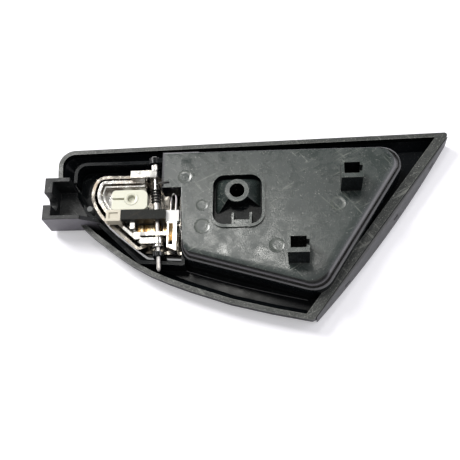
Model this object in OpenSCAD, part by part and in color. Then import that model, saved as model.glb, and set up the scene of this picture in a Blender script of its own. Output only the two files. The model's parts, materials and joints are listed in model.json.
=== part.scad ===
// Interior door release handle, lying face down: front face at the bottom, back upward.
// X runs along the handle, Y is the hinge pin's direction, Z points out of the back.
// The origin is the screw hole's axis at its rear mouth. All sizes are in millimetres.

/* [Escutcheon] */
// Left edge of the lip, measured left from the screw hole
reach_left = 105.6; // [104:0.2:130]
// Tip of the lip at the upper right, measured right from the screw hole
reach_right = 118.5; // [114:0.5:145]
// Top edge of the lip above the screw hole, at its left end
reach_top = 34.6; // [34:0.2:42]
// Bottom corner of the lip below the screw hole
reach_bottom = 68.4; // [67:0.2:84]
// Height of the lip above the front face
lip_h = 12; // [10:0.5:14]
// Width of the lip on the top, left and bottom sides
lip_w = 2.6; // [2:0.1:3.4]
// Width of the lip on the slanted side
lip_slant_w = 5; // [3:0.1:6]
// Thickness of the front face
face_t = 2.6; // [2:0.1:3.5]
// How far the front face's edge is set in from the lip
edge_round = 5; // [3:0.2:6]

/* [Edge trim] */
// How far the trim strip bulges out at the front
trim_bulge = 3.4; // [2:0.1:5]
// How far the trim strip's back edge lies below the lip
trim_drop = 1.2; // [0.6:0.1:3]

/* [Finger bowl] */
// Height of the bowl's back above the front face
bowl_h = 24; // [22.5:0.5:26]
// Wall of the bowl
bowl_t = 2.4; // [1.8:0.1:3]
// Width of the bowl's rounded shoulder
bowl_shoulder = 8; // [5:0.5:9]

/* [Screw boss] */
// Height of the screw boss above the front face
boss_h = 28; // [27:0.5:33]
// Radius of the screw hole
screw_r = 4.1; // [2.5:0.1:4.5]
// Width of the pocket around the boss
pocket_w = 30; // [27:0.5:34]
// Length of the pocket around the boss
pocket_l = 32; // [29:0.5:33]
// Wall of the pocket's rim
pocket_rim = 1.6; // [1.2:0.1:2.4]

/* [Clip towers] */
// Height of the towers above the front face
tower_h = 42; // [36:0.5:46]
// Width of a tower
tower_w = 11.2; // [10:0.1:13]
// Length of a tower
tower_l = 11; // [10:0.1:13]
// Wall of a tower
tower_t = 1.5; // [1.2:0.1:2]

/* [Hinge] */
// Radius of the hinge pin
pin_r = 1.3; // [1:0.05:1.5]
// Clearance between the pin and the lever's bores
pin_play = 0.06; // [0.03:0.01:0.09]
// Distance of the pin from the screw hole
pin_offset = 46.3; // [45.8:0.1:47]
// Height of the pin's axis above the front face
pin_z = 16; // [15.6:0.1:16.6]
// Radius of the pin's head
pin_head_r = 2.1; // [1.8:0.1:2.5]
// How far the pin's tail stands out of the lower lug
pin_tail = 8; // [4:0.5:9]

/* [Return spring] */
// Wire diameter of the spring
wire_d = 0.9; // [0.7:0.1:1]
// Mean radius of the coil
coil_r = 2.45; // [2.35:0.05:2.6]
// Number of turns
coil_turns = 5; // [4:1:6]

/* [Lever] */
// Radial distance from the pin to the lever's left end
tail_reach = 38.6; // [36:0.2:40.4]
// Distance from the pin to the paddle's right end
paddle_reach = 70; // [50:1:74]
// Height of the lever's front skin above the front plane
skin_z = 1; // [0.6:0.1:1.6]
// Thickness of the lever's front skin
skin_t = 2; // [1.5:0.1:2.4]
// Wall of the lever's rim
rim_t = 1.7; // [1.3:0.1:2.2]
// Gap between the lever and the opening it sits in
lever_gap = 1.6; // [1.2:0.1:2.2]

/* [Cable end] */
// Width of the nylon cable holder
retainer_w = 11.6; // [10:0.1:12.2]
// Length of the nylon cable holder
retainer_l = 20; // [18:0.2:20.6]
// Radius of the hole for the cable nipple
nipple_r = 2.2; // [1.6:0.1:2.6]
// Width of the cable notch in the bracket
notch_w = 7.2; // [5:0.2:9]
// Height of the bracket above the front face
bracket_h = 22; // [18:0.5:25]

/* [Hidden] */
$fn = 48;
fit = 0.1;                         // clearance between two pieces that sit in each other
cut = 0.5;                         // overshoot of a cut beyond the face it leaves
hull_fn = 44;                      // arc steps used on outlines

pin_x = -pin_offset;

// ---------- outlines: lists of corners [x, y, fillet radius], anticlockwise ----------

slant_dx = 78.9;                   // the slanted side's run to the left on its way down
top_rise = 4.3;                    // the top edge's rise from left to right

lip_corners = [
    [-reach_left, reach_top, 9.5],
    [-reach_left, 14, 40],
    [-reach_left + 13.6, -11.4, 60],
    [-54.6, -reach_bottom + 27.8, 120],
    [-4.8, -reach_bottom + 8.9, 280],
    [reach_right - slant_dx, -reach_bottom, 2],
    [reach_right, reach_top + top_rise, 1.6]];
slant_edge = 5;                    // the outline's edge that starts at this corner is the slanted side

bowl_corners = [
    [-33.6, reach_top - 8, 3],
    [-30.6, -reach_bottom + 33, 7],
    [45.3, -reach_bottom + 11.7, 13],
    [reach_right - 21.5, reach_top - 8.3, 9]];

// well that the lever's tail sits in
well_corners = [
    [-95, reach_top - 8.9, 7],
    [-95, 8.5, 5],
    [-87.3, -4.9, 25],
    [-54.8, -36, 4],
    [-29.5, -37.5, 1],
    [-29.5, reach_top - 8.9, 1]];
well_t = 1.8;
well_h = 14;

tail_x = pin_x - tail_reach;
paddle_x = pin_x + paddle_reach;
lever_top = 17;                    // upper edge of the lever, above the screw hole
lever_bottom = -28.4;              // lower edge of the lever's tail

tail_corners = [
    [tail_x + 3.4, lever_top, 7],
    [tail_x - 0.2, 3.6, 15],
    [tail_x + 6.6, -8.8, 36],
    [-56, lever_bottom, 3],
    [-50, lever_bottom + 2, 2.5],
    [-50, lever_top - 0.6, 1]];

// the lever's front outline; its tail is smaller here than at the back, so that it clears the well as it turns
tail_draft = 2.6;
paddle_corners = [
    [tail_x + 3.4 + tail_draft, lever_top, 7],
    [tail_x - 0.2 + tail_draft, 3.6, 15],
    [tail_x + 6.2 + tail_draft, -8.8, 36],
    [-52, lever_bottom, 3],
    [paddle_x - 9, lever_bottom - 4, 10],
    [paddle_x, lever_top + 0.4, 9]];

// ---------- outline helpers ----------

function unit(v) = v / norm(v);
function left_of(v) = [-v[1], v[0]];
function wrap(c, i) = c[(i + len(c)) % len(c)];
function xy(p) = [p[0], p[1]];

// where the line through p along u meets the line through q along v
function meet(p, u, q, v) =
    let (k = u[0] * v[1] - u[1] * v[0], w = q - p)
    p + u * ((w[0] * v[1] - w[1] * v[0]) / k);

// moves each edge of an outline inwards by its own distance; the edge that starts at corner i moves by d[i]
function inset_each(c, d) = [for (i = [0:len(c) - 1])
    let (before = xy(wrap(c, i - 1)), here = xy(c[i]), after = xy(wrap(c, i + 1)),
         u = unit(here - before), v = unit(after - here),
         m = meet(here + left_of(u) * wrap(d, i - 1), u, here + left_of(v) * d[i], v))
    [m[0], m[1], max(c[i][2] - min(d), 0.3)]];

// moves every edge inwards by d, and the edge that starts at corner `special` by e instead
function inset(c, d, special = -1, e = 0) = inset_each(c, [for (i = [0:len(c) - 1]) i == special ? e : d]);

// points of a fillet of radius r at corner b between a and c
function fillet(a, b, c, r) =
    let (u = unit(xy(a) - xy(b)), v = unit(xy(c) - xy(b)),
         half = acos(u * v) / 2,
         centre = xy(b) + unit(u + v) * (r / sin(half)),
         p = xy(b) + u * (r / tan(half)), q = xy(b) + v * (r / tan(half)),
         start = atan2(p[1] - centre[1], p[0] - centre[0]),
         turn = 180 - 2 * half,
         steps = max(2, round(hull_fn * turn / 300)))
    [for (k = [0:steps]) centre + r * [cos(start + turn * k / steps), sin(start + turn * k / steps)]];

function rounded(c) = [for (i = [0:len(c) - 1])
    for (p = fillet(wrap(c, i - 1), c[i], wrap(c, i + 1), c[i][2])) p];

module plate(c, z0, z1) {
    translate([0, 0, z0]) linear_extrude(z1 - z0) polygon(rounded(c));
}

// wall that follows an outline, on its inner side from `outer` to `outer + t`
module rim(c, outer, t, z0, z1) {
    difference() {
        plate(inset(c, outer), z0, z1);
        plate(inset(c, outer + t), z0 - cut, z1 + cut);
    }
}

module block(x, y, z) {
    translate([x[0], y[0], z[0]]) cube([x[1] - x[0], y[1] - y[0], z[1] - z[0]]);
}

// the pin's own frame: it lies across the handle, turned a little from Y
pin_skew = 4.5;
function pin_at(y) = pin_x - y * tan(pin_skew);
module at_pin() {
    translate([pin_x, 0, pin_z]) rotate([0, 0, pin_skew]) children();
}

// cylinder about the pin's axis
module on_pin(r, y0, y1) {
    at_pin() translate([0, y0, 0]) rotate([-90, 0, 0]) cylinder(r = r, h = y1 - y0);
}

// everything is drawn with z from the front face, then brought to the screw hole's rear mouth
module seated() {
    translate([0, 0, -boss_h]) children();
}

// ---------- housing ----------

lug_top_y = [reach_top - 12.3, reach_top - 8.9];       // upper pin lug
lug_low_y = [-33.2, -30.9];                            // lower pin lug
lug_w = 6;
pocket_y = -4;                                         // centre of the boss pocket
pocket_floor = bowl_h - 4;
pocket_t = 2;                                          // floor of the boss pocket
pocket_rise = 1.2;                                     // the pocket's rim stands this far above the bowl's back

function lip_level(d) = inset(lip_corners, d, slant_edge, 0);

module housing_body() {
    hull() {
        plate(lip_level(edge_round), 0, 0.4);
        plate(lip_level(edge_round * 0.36), 0.25 * lip_h, 0.25 * lip_h + 0.4);
        plate(lip_level(0), 0.62 * lip_h, lip_h);
    }
}

module channel() {
    hull() {
        plate(inset(lip_corners, edge_round + lip_w * 0.8, slant_edge, lip_slant_w + 1), face_t, face_t + 0.4);
        plate(inset(lip_corners, lip_w, slant_edge, lip_slant_w), 0.62 * lip_h, lip_h + cut);
    }
}

// the bowl's back is rounded: broad shoulders at the bottom and right, narrow ones at the left and top
shoulder_narrow = 0.22;            // a narrow shoulder's width as a share of a broad one
shoulder_drop = 0.7;               // height of the shoulder as a share of its width
shoulder_steps = 6;

function bowl_level(d, s) = inset_each(bowl_corners, [d + s * shoulder_narrow, d + s, d + s, d + s * shoulder_narrow]);

module bowl(d, z0) {
    hull() for (k = [0:shoulder_steps]) let (a = 90 * k / shoulder_steps)
        plate(bowl_level(d, bowl_shoulder * (1 - cos(a))), z0, bowl_h - d - bowl_shoulder * shoulder_drop * (1 - sin(a)));
}

// ledge at the bowl's upper left, beside the pin, all but flush with the bowl's back
ledge_x = [pin_x + 3.9, -22];
ledge_y = [4.6, reach_top - 8.2];
ledge_h = bowl_h - 0.1;
ledge_round = 1.4;

module bowl_ledge() {
    hull() {
        block(ledge_x, ledge_y, [face_t, ledge_h - ledge_round]);
        block([ledge_x[0] + ledge_round, ledge_x[1]], [ledge_y[0], ledge_y[1] - ledge_round], [face_t, ledge_h]);
    }
}

module ledge_hollow() {
    block([ledge_x[0] + 1.8, -27], [ledge_y[0] + 1.8, ledge_y[1] - 2.4], [-cut, ledge_h - bowl_t]);
}

module pocket_block(d, z0, z1) {
    hx = pocket_w / 2 - d;
    hy = pocket_l / 2 - d;
    r = 8 - d;
    plate([[-hx, hy + pocket_y, r], [-hx, -hy + pocket_y, r], [hx, -hy + pocket_y, r], [hx, hy + pocket_y, r]],
          z0, z1);
}

module boss() {
    hull() {
        plate([[-12.4, 9.6, 3], [-12.4, -11, 3], [12.4, -11, 3], [12.4, 9.6, 3]], pocket_floor - 1, pocket_floor);
        translate([0, 0, boss_h - 1.5]) cylinder(r = screw_r + 2.4, h = 1.5, $fn = 32);
    }
}

skirt_corners = [[-4.6, -4.6], [-10.6, -10.4], [-16, -13], [-16, -22], [16, -22], [16, -9.2], [12.6, -7.2],
                 [5.6, -3.6]];
collar_t = 2.6;                     // wall of the collar round the screw hole
rib_x = [-2.4, 7.2];                // the two ribs below the boss
rib_t = 1.2;
rib_y = [-19, -11.6];
rib_h = 4.6;
bar_l = 3.4;                        // length of the bar that joins the ribs at the pocket's edge

// cut in the boss's skirt below the screw hole, so that it stands as two wings and a collar
module skirt_cut() {
    difference() {
        translate([0, 0, pocket_floor]) linear_extrude(boss_h) polygon(skirt_corners);
        translate([0, 0, pocket_floor - cut]) cylinder(r = screw_r + collar_t, h = boss_h + 2 * cut);
    }
}

module pocket_ribs() {
    for (x = rib_x) block([x - rib_t / 2, x + rib_t / 2], rib_y, [pocket_floor - cut, pocket_floor + rib_h]);
    block(rib_x, [rib_y[0], rib_y[0] + bar_l], [pocket_floor - cut, pocket_floor + rib_h - cut]);
}

tower_at = [[61.2, 5], [32.7, -35.2]];
module tower(at) {
    translate([at[0], at[1], 0]) difference() {
        block([-tower_w / 2, tower_w / 2], [-tower_l / 2, tower_l / 2], [bowl_h - 1, tower_h]);
        block([-tower_w / 2 + tower_t, tower_w / 2 - tower_t], [-tower_l / 2 + 2.4, tower_l / 2 - 2.4],
              [bowl_h + 1, tower_h + cut]);
        block([tower_w / 2 - tower_t - cut, tower_w / 2 + cut], [-2, 1.4], [tower_h - 7, tower_h + cut]);
    }
}

// opening in the front face: the lever's outline plus its gap
module lever_opening() {
    plate(inset(paddle_corners, -lever_gap), -cut, pin_z - 5);
}

// upright lug with a round top that the pin sits in
module pin_lug(y) {
    at_pin() translate([-lug_w / 2, y[0], face_t - cut - pin_z]) cube([lug_w, y[1] - y[0], pin_z - face_t + cut]);
    on_pin(lug_w / 2 + 0.2, y[0], y[1]);
}

bracket_x = [-109.2, -88];
bracket_y = [-12, 13.2];
bracket_z = 3.4;

module bracket_seat() {
    block([-reach_left - 20, bracket_x[1] + fit], [bracket_y[0] - fit, bracket_y[1] + fit], [bracket_z, 60]);
    block([bracket_x[1] - 1, -73], [bracket_y[0] - fit, bracket_y[0] + 2.6 + fit], [bracket_z, 60]);
}

module shell() {
    difference() {
        union() {
            difference() {
                housing_body();
                channel();
            }
            rim(well_corners, 0, well_t, face_t - cut, well_h);
            bowl(0, face_t - cut);
            bowl_ledge();
        }
        bowl(bowl_t, -cut);
        ledge_hollow();
        difference() {
            plate(inset(well_corners, well_t), face_t, pin_z - 5);
            bowl(0, 0);
        }
        lever_opening();
    }
}

module housing() color([0.07, 0.075, 0.075]) seated() {
    difference() {
        union() {
            difference() {
                union() {
                    shell();
                    pocket_block(0, pocket_floor - pocket_t, bowl_h + pocket_rise);
                }
                pocket_block(pocket_rim, pocket_floor, bowl_h + pocket_rise + cut);
            }
            for (at = tower_at) tower(at);
            pin_lug(lug_top_y);
            pin_lug(lug_low_y);
            block([pin_at(lug_top_y[0]), ledge_x[0] + 1], [lug_top_y[0] + 0.2, lug_top_y[1] - 0.5],
                  [face_t - cut, pin_z + lug_w / 2 - 0.4]);
            pocket_ribs();
            difference() {
                boss();
                skirt_cut();
            }
        }
        translate([0, 0, -cut]) cylinder(r = screw_r, h = boss_h + 2 * cut);
        on_pin(pin_r, lug_low_y[0] - 1, lug_top_y[1] + 1);
        buffer_at() cylinder(r = buffer_r, h = 20);
        bracket_seat();
    }
}

// ---------- edge trim: the strip on the slanted side ----------

slant_a = xy(lip_corners[5]);
slant_b = xy(lip_corners[6]);
slant_len = norm(slant_b - slant_a);
slant_dir = atan2(slant_b[1] - slant_a[1], slant_b[0] - slant_a[0]);
trim_end = 2.5;                     // the strip stops this far from each corner

// outline of the strip in its own frame: X along the side, Y outwards below the axis
function bulge(u, depth) = let (s = u / slant_len) -depth * 4 * s * (1 - s) - 0.35;
function strip(depth, back) = concat(
    [for (k = [0:16]) let (u = trim_end + (slant_len - 2 * trim_end) * k / 16) [u, bulge(u, depth)]],
    [[slant_len - trim_end, back], [trim_end, back]]);

module trim_slot(share, z) {
    translate([slant_len * share, -trim_bulge - 1, z]) cube([4, trim_bulge + 1.2, 1.8]);
}

module edge_trim() color([0.2, 0.2, 0.21]) seated() {
    translate([slant_a[0], slant_a[1], 0]) rotate([0, 0, slant_dir]) difference() {
        hull() {
            linear_extrude(0.8) polygon(strip(trim_bulge, -fit));
            translate([0, 0, lip_h - trim_drop - 0.4]) linear_extrude(0.4) polygon(strip(trim_bulge * 0.35, -fit));
        }
        trim_slot(0.2, lip_h * 0.3);
        trim_slot(0.55, lip_h * 0.4);
        trim_slot(0.83, lip_h * 0.4);
    }
}

// ---------- cable bracket ----------

bracket_wall = 2.5;
bracket_end = 4.6;
notch_y = 0.4;

module cable_bracket() color([0.12, 0.12, 0.13]) seated() {
    difference() {
        union() {
            block(bracket_x, bracket_y, [bracket_z, bracket_h]);
            // lower wall runs on to the right and drops towards the lever
            translate([0, bracket_y[0] + bracket_wall, 0]) rotate([90, 0, 0]) linear_extrude(bracket_wall)
                polygon([[bracket_x[1] - 1, bracket_z], [-74, bracket_z], [-74, well_h - 2],
                         [bracket_x[1] - 1, bracket_h]]);
        }
        block([bracket_x[0] + bracket_end, bracket_x[1] + 1],
              [bracket_y[0] + bracket_wall, bracket_y[1] - bracket_wall], [bracket_z + 2, bracket_h + cut]);
        // cable notch: a round seat open at the top
        translate([bracket_x[0] - 1, notch_y, bracket_h - 8]) rotate([0, 90, 0])
            cylinder(r = notch_w / 2, h = bracket_end + 2);
        block([bracket_x[0] - 1, bracket_x[0] + bracket_end + 1], [notch_y - notch_w / 2, notch_y + notch_w / 2],
              [bracket_h - 8, bracket_h + cut]);
        // the well's wall passes here
        difference() {
            plate(inset(well_corners, -fit), 0, 60);
            block([-200, 200], [bracket_y[0] - 1, bracket_y[0] + bracket_wall], [0, 60]);
        }
        plate(inset(tail_corners, -lever_gap - 0.4), 0, 60);
    }
}

// ---------- hinge ----------

pin_head_t = 1.2;
knurl_y = [18.3, lug_top_y[0] - 0.2];

module hinge_pin() color([0.72, 0.72, 0.7]) seated() {
    on_pin(pin_r, lug_low_y[0] - pin_tail, lug_top_y[1] + 0.4);
    on_pin(pin_head_r, lug_top_y[1], lug_top_y[1] + pin_head_t);
    on_pin(pin_r + 0.55, knurl_y[0], knurl_y[1]);
}

low_lug_y = [-26.2, -22.8];         // the lever's lower lug
high_lug_y = [13.2, 17.4];          // the lever's upper lug

module pin_clip() color([0.55, 0.55, 0.53]) seated() {
    difference() {
        on_pin(3, low_lug_y[0] - 1.6, low_lug_y[0] - 0.8);
        on_pin(pin_r, low_lug_y[0] - 3, low_lug_y[0]);
        at_pin() translate([0, low_lug_y[0] - 1.2, -2.6]) cube([1.7, 3, 3.4], center = true);
    }
}

// the coil's centre line: a helix along the pin with a straight leg at each end
coil_y0 = -1.6;
coil_pitch = 1.72;
coil_steps = 14;
function coil_point(a) = [coil_r * cos(a), coil_y0 + coil_pitch * a / 360, coil_r * sin(a)];
leg_y = coil_y0 + coil_pitch * coil_turns;
hook_z = ledge_h + wire_d / 2 - pin_z;     // the fixed leg lies on the ledge at this height
arm_gap = 0.4;                             // clearance between the pin and the arm above it
leg_gap = 0.05;                            // clearance between the moving leg and the arm it pushes
push_z = pin_r + arm_gap - wire_d / 2 - leg_gap;
coil_path = concat(
    [[coil_r, -9.5, push_z], [coil_r, -5, push_z / 2], [coil_r, -2.6, 0.1]],
    [for (k = [1:coil_steps * coil_turns - 1]) coil_point(k * 360 / coil_steps)],
    [[coil_r + 0.2, leg_y, 1], [coil_r + 0.4, leg_y, hook_z - 0.8], [coil_r + 1.2, leg_y, hook_z], [9, leg_y, hook_z]]);

// round tube along a path, closed at both ends; ref is never along the path
module tube(path, r, sides, ref) {
    n = len(path);
    function tangent(i) = unit(path[min(i + 1, n - 1)] - path[max(i - 1, 0)]);
    function side_of(i) = unit(cross(tangent(i), ref));
    rings = [for (i = [0:n - 1]) let (t = tangent(i), a = side_of(i), b = cross(t, a))
        for (k = [0:sides - 1]) path[i] + r * (cos(360 * k / sides) * a + sin(360 * k / sides) * b)];
    walls = [for (i = [0:n - 2]) for (k = [0:sides - 1]) let (m = (k + 1) % sides)
        [i * sides + k, i * sides + m, (i + 1) * sides + m, (i + 1) * sides + k]];
    caps = [[for (k = [sides - 1:-1:0]) k], [for (k = [0:sides - 1]) (n - 1) * sides + k]];
    polyhedron(rings, concat(walls, caps), convexity = 10);
}

module return_spring() color([0.05, 0.05, 0.05]) seated() {
    at_pin() tube(coil_path, wire_d / 2, 8, [0, 1, 0.02]);
}

sleeve_t = 0.4;
sleeve_y = [-6.6, leg_y];

module spring_sleeve() color([0.75, 0.75, 0.73]) seated() {
    difference() {
        on_pin(pin_r + sleeve_t, sleeve_y[0], sleeve_y[1]);
        on_pin(pin_r, sleeve_y[0] - 1, sleeve_y[1] + 1);
    }
}

buffer_r = 1.7;
buffer_pos = [-84.1, -3.6];
buffer_deep = 6;                    // how far the buffer's seat goes down below the well's top
buffer_h = 7.4;

// seat of the buffer, in the well's wall beside the lever
module buffer_at() {
    translate([buffer_pos[0], buffer_pos[1], well_h - buffer_deep]) children();
}

module stop_buffer() color([0.32, 0.33, 0.33]) seated() {
    buffer_at() cylinder(r = buffer_r, h = buffer_h);
}

// ---------- lever ----------

core_end = -53.6;                   // the core's walls and the tail stop here, short of the pin

tail_h = 14;
paddle_h = 8.5;
core_top = 15;
core_floor = 9.6;
core_low = skin_z + skin_t;
core_out = 3.6;                     // set-in of the core's V wall from the lever's edge
core_t = 1.8;

// the lever's front outline as far as the end of its tail
front_corners = [paddle_corners[0], paddle_corners[1], paddle_corners[2], [-52, lever_bottom, 1.2],
    [-50, lever_bottom, 0.6], [-50, lever_top - 0.6, 1]];

module tail(d, z0, z1) {
    hull() {
        plate(inset(front_corners, d), z0, z0 + 0.2);
        plate(inset(tail_corners, d), z1 - 0.6, z1);
    }
}

module lever_shell() color([0.8, 0.8, 0.78]) seated() {
    plate(paddle_corners, skin_z, core_low);
    difference() {
        tail(0, skin_z, tail_h);
        tail(rim_t, core_low, tail_h + cut);
        // the tail is open towards the pin
        block([core_end, -49], [lever_bottom + 4.4, lever_top - rim_t], [core_low, tail_h + cut]);
    }
    difference() {
        rim(paddle_corners, 0, rim_t, skin_z, paddle_h);
        tail(rim_t, core_low, tail_h + cut);
    }
}

lug_r = 3.2;                        // the lever's lugs are round about the pin
above_tail = tail_h + 0.2;

module lug(x, y) {
    block([x, pin_x], y, [above_tail, pin_z + lug_r]);
    on_pin(lug_r, y[0], y[1]);
}

// the core's outline follows the lever's edge on three sides and runs on past the pin, where it is cut off
core_corners = [tail_corners[0], tail_corners[1], tail_corners[2],
    concat(meet(xy(tail_corners[2]), xy(tail_corners[3]) - xy(tail_corners[2]), [pin_x + 12, 0], [0, 1]), 1),
    [pin_x + 12, lever_top, 1]];

module lever_core() color([0.85, 0.85, 0.82]) seated() {
    // V wall, inner lip and floor
    difference() {
        union() {
            rim(core_corners, core_out, core_t, core_low + 3.4, core_top);
            rim(core_corners, core_out + 3, 0.8, core_low, core_top - 0.6);
            plate(inset(core_corners, core_out + 0.6), core_floor - 2, core_floor);
        }
        block([core_end, 0], [-60, 60], [0, 60]);
    }
    block([-56, -38.4], [-21.4, -11], [core_floor - 2, core_floor]);
    // pin lugs and the webs that carry them
    difference() {
        union() {
            lug(-61, high_lug_y);
            block([-61, core_end], [high_lug_y[0] - 1, lever_top - rim_t - 0.7], [core_floor - 2, above_tail + 1]);
            lug(-53.8, low_lug_y);
            block([-57, core_end], [lever_bottom + 4.8, -19.6], [core_floor - 2, pin_z + lug_r]);
        }
        on_pin(pin_r + pin_play, low_lug_y[0] - 1, high_lug_y[1] + 1);
    }
    // ribs between the lugs
    block([-60, -57.4], [-17, arm_y[0] - fit], [core_floor - 1, pin_z + 2]);
    difference() {
        block([-57.4, -39.2], [-21.6, -19.6], [core_floor - 1, pin_z + lug_r]);
        on_pin(pin_r + 0.6, -30, -10);
    }
}

frame_x = [-39.1, -33.6];
frame_y = [-28.2, -13.6];
frame_lean = 2.6;                   // the frame's lower end slants down by this much
frame_slot_x = [-38.1, -35.8];
frame_slot_y = [-27, -22, -14.6];   // open right through up to the middle value, and blind above it
frame_floor = 1.4;

module lever_frame() color([0.9, 0.88, 0.82]) seated() {
    z0 = core_floor + 0.2;
    difference() {
        plate([[frame_x[0], frame_y[1], 0.4], [frame_x[0], frame_y[0], 0.4],
               [frame_x[1], frame_y[0] - frame_lean, 0.4], [frame_x[1], frame_y[1], 0.4]], z0, pin_z + 3);
        block(frame_slot_x, [frame_slot_y[0], frame_slot_y[2]], [z0 + frame_floor, 60]);
        block(frame_slot_x, [frame_slot_y[0], frame_slot_y[1]], [0, 60]);
    }
}

arm_x = [tail_x + 19.9, -40];            // the arm keeps its place from the end of the tail
arm_y = [-12.6, -7];
arm_z = [pin_z + pin_r + arm_gap, pin_z + 5];
module release_arm() color([0.04, 0.04, 0.04]) seated() {
    block(arm_x, arm_y, arm_z);
    difference() {
        block([arm_x[0] + 2.6, arm_x[1]], [arm_y[0], arm_y[0] + 1.2], [core_floor, arm_z[1]]);
        on_pin(pin_r + 0.7, arm_y[0] - 1, arm_y[1]);
    }
}

module arm_post() color([0.8, 0.77, 0.7]) seated() {
    difference() {
        block([arm_x[0] - 8, arm_x[0]], [arm_y[0] - 0.8, arm_y[1]], [core_top + 0.2, arm_z[1] + 0.3]);
        block([arm_x[0] - 6.6, arm_x[0] - 1.4], [arm_y[0] + 0.6, arm_y[1] - 1.4], [arm_z[1] - 0.5, 60]);
    }
    translate([arm_x[0] - 1.4, arm_y[1] - 0.9, core_floor]) cylinder(r = 0.9, h = core_top + 1 - core_floor);
}

block_z = [pin_z - 2.6, pin_z + 2.4];
loop_r = 0.62;
loop_play = 0.13;                   // clearance of the loop in the block
loop_x = [-37.4, -34.6];            // the loop's two legs
loop_foot = -12.4;
loop_z = block_z[1] - 1.2;

module stop_block() color([0.93, 0.93, 0.92]) seated() {
    difference() {
        block([arm_x[1], -32.8], [-13.4, -6.8], block_z);
        for (x = loop_x)
            translate([x, 0, loop_z]) rotate([90, 0, 0]) cylinder(r = loop_r + loop_play, h = 60, center = true);
    }
}

loop_path = [for (p = [[loop_x[0], loop_foot], [loop_x[0], -7], [loop_x[0], 0], [loop_x[0], 1.8],
                       [loop_x[0] + 0.4, 3], [loop_x[0] + 1.2, 3.6], [loop_x[1] - 0.8, 3.1], [loop_x[1] - 0.2, 2],
                       [loop_x[1], 0], [loop_x[1], -7], [loop_x[1], loop_foot]])
             [p[0], p[1], loop_z]];

module wire_clip() color([0.88, 0.88, 0.86]) seated() {
    tube(loop_path, loop_r, 8, [0, 0, 1]);
}

retainer_z = [pin_z + 1, pin_z + 5];
retainer_gap = 0.2;                 // clearance between the holder and the arm
retainer_at = [-60.4, arm_y[1] + retainer_gap + retainer_w / 2];
nipple_at = retainer_at + [1, 0.6];
nipple_deep = 2.4;
slit_w = 1.2;                       // slit that the cable passes through into the nipple's hole
stud_r = 1.6;
stud_foot_r = 4;
stud_in = 1;                        // the stud's length inside the holder

module cable_retainer() color([0.88, 0.89, 0.82]) seated() {
    difference() {
        plate([[retainer_at[0] - retainer_l / 2, retainer_at[1] + retainer_w / 2, 2],
               [retainer_at[0] - retainer_l / 2, retainer_at[1] - retainer_w / 2, 1.5],
               [retainer_at[0] + retainer_l / 2, retainer_at[1] - retainer_w / 2, 2.5],
               [retainer_at[0] + retainer_l / 2, retainer_at[1] + retainer_w / 2, 3.5]],
              retainer_z[0], retainer_z[1]);
        translate([nipple_at[0], nipple_at[1], retainer_z[1] - nipple_deep]) cylinder(r = nipple_r, h = 10);
        block([-100, nipple_at[0]], [nipple_at[1] - slit_w / 2, nipple_at[1] + slit_w / 2], [retainer_z[1] - 2, 60]);
        translate([nipple_at[0], nipple_at[1], 0]) cylinder(r = stud_r, h = retainer_z[0] + stud_in);
    }
}

module retainer_stud() color([0.8, 0.8, 0.78]) seated() {
    translate([nipple_at[0], nipple_at[1], core_floor]) {
        cylinder(r = stud_r, h = retainer_z[0] + stud_in - core_floor);
        cylinder(r = stud_foot_r, h = retainer_z[0] - core_floor);
    }
}

housing();
edge_trim();
cable_bracket();
hinge_pin();
pin_clip();
return_spring();
spring_sleeve();
stop_buffer();
lever_shell();
lever_core();
lever_frame();
release_arm();
arm_post();
stop_block();
wire_clip();
cable_retainer();
retainer_stud();
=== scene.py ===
# %% [markdown]
# # A door's release handle, seen from behind
# This lesson dresses a small mechanical assembly in Blender: a black moulded escutcheon, a chrome lever that
# swings on a cross pin, a coil spring, and the nylon holder that takes the end of a cable. The working model
# is already made, so every piece here starts from its sizes. What Blender adds is the finish: rounded edges,
# moulding marks, grain, plating, and the small parts that are easier to bend or sweep than to cut.

# %% Load the frame
import json
import math

import bmesh
import bpy
from mathutils import Matrix, Vector


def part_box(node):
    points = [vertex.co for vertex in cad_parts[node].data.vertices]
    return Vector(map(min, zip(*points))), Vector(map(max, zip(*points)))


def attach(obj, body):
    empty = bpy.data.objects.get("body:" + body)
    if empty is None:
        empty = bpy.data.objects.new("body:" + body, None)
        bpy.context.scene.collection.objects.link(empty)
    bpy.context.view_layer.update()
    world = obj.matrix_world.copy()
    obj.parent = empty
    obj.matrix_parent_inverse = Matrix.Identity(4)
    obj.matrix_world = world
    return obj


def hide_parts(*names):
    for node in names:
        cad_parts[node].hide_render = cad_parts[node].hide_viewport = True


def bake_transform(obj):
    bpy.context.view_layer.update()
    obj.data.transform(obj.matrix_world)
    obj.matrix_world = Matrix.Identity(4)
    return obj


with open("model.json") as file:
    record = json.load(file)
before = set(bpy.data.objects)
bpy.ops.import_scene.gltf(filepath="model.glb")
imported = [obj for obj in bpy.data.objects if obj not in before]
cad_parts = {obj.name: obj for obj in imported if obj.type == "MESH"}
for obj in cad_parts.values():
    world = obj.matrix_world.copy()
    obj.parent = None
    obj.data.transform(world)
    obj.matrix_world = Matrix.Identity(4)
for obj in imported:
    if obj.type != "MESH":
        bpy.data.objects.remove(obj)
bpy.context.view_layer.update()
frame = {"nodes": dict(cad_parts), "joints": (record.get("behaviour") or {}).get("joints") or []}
nodes = frame["nodes"]
MM = 0.001
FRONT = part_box("housing")[0].z           # the front face, which lies on the table
HINGE = Vector(frame["joints"][0]["pos_m"])
print("nodes:", len(nodes), " hinge at", [round(v / MM, 1) for v in HINGE], "mm")

# %% [markdown]
# ## Placing things
# The mechanical drawing measures heights from the front face and lengths from the screw hole, in millimetres.
# Blender works in metres. One helper turns a drawing's point into a Blender point, so that the sizes below
# can be read against the drawing.


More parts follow.
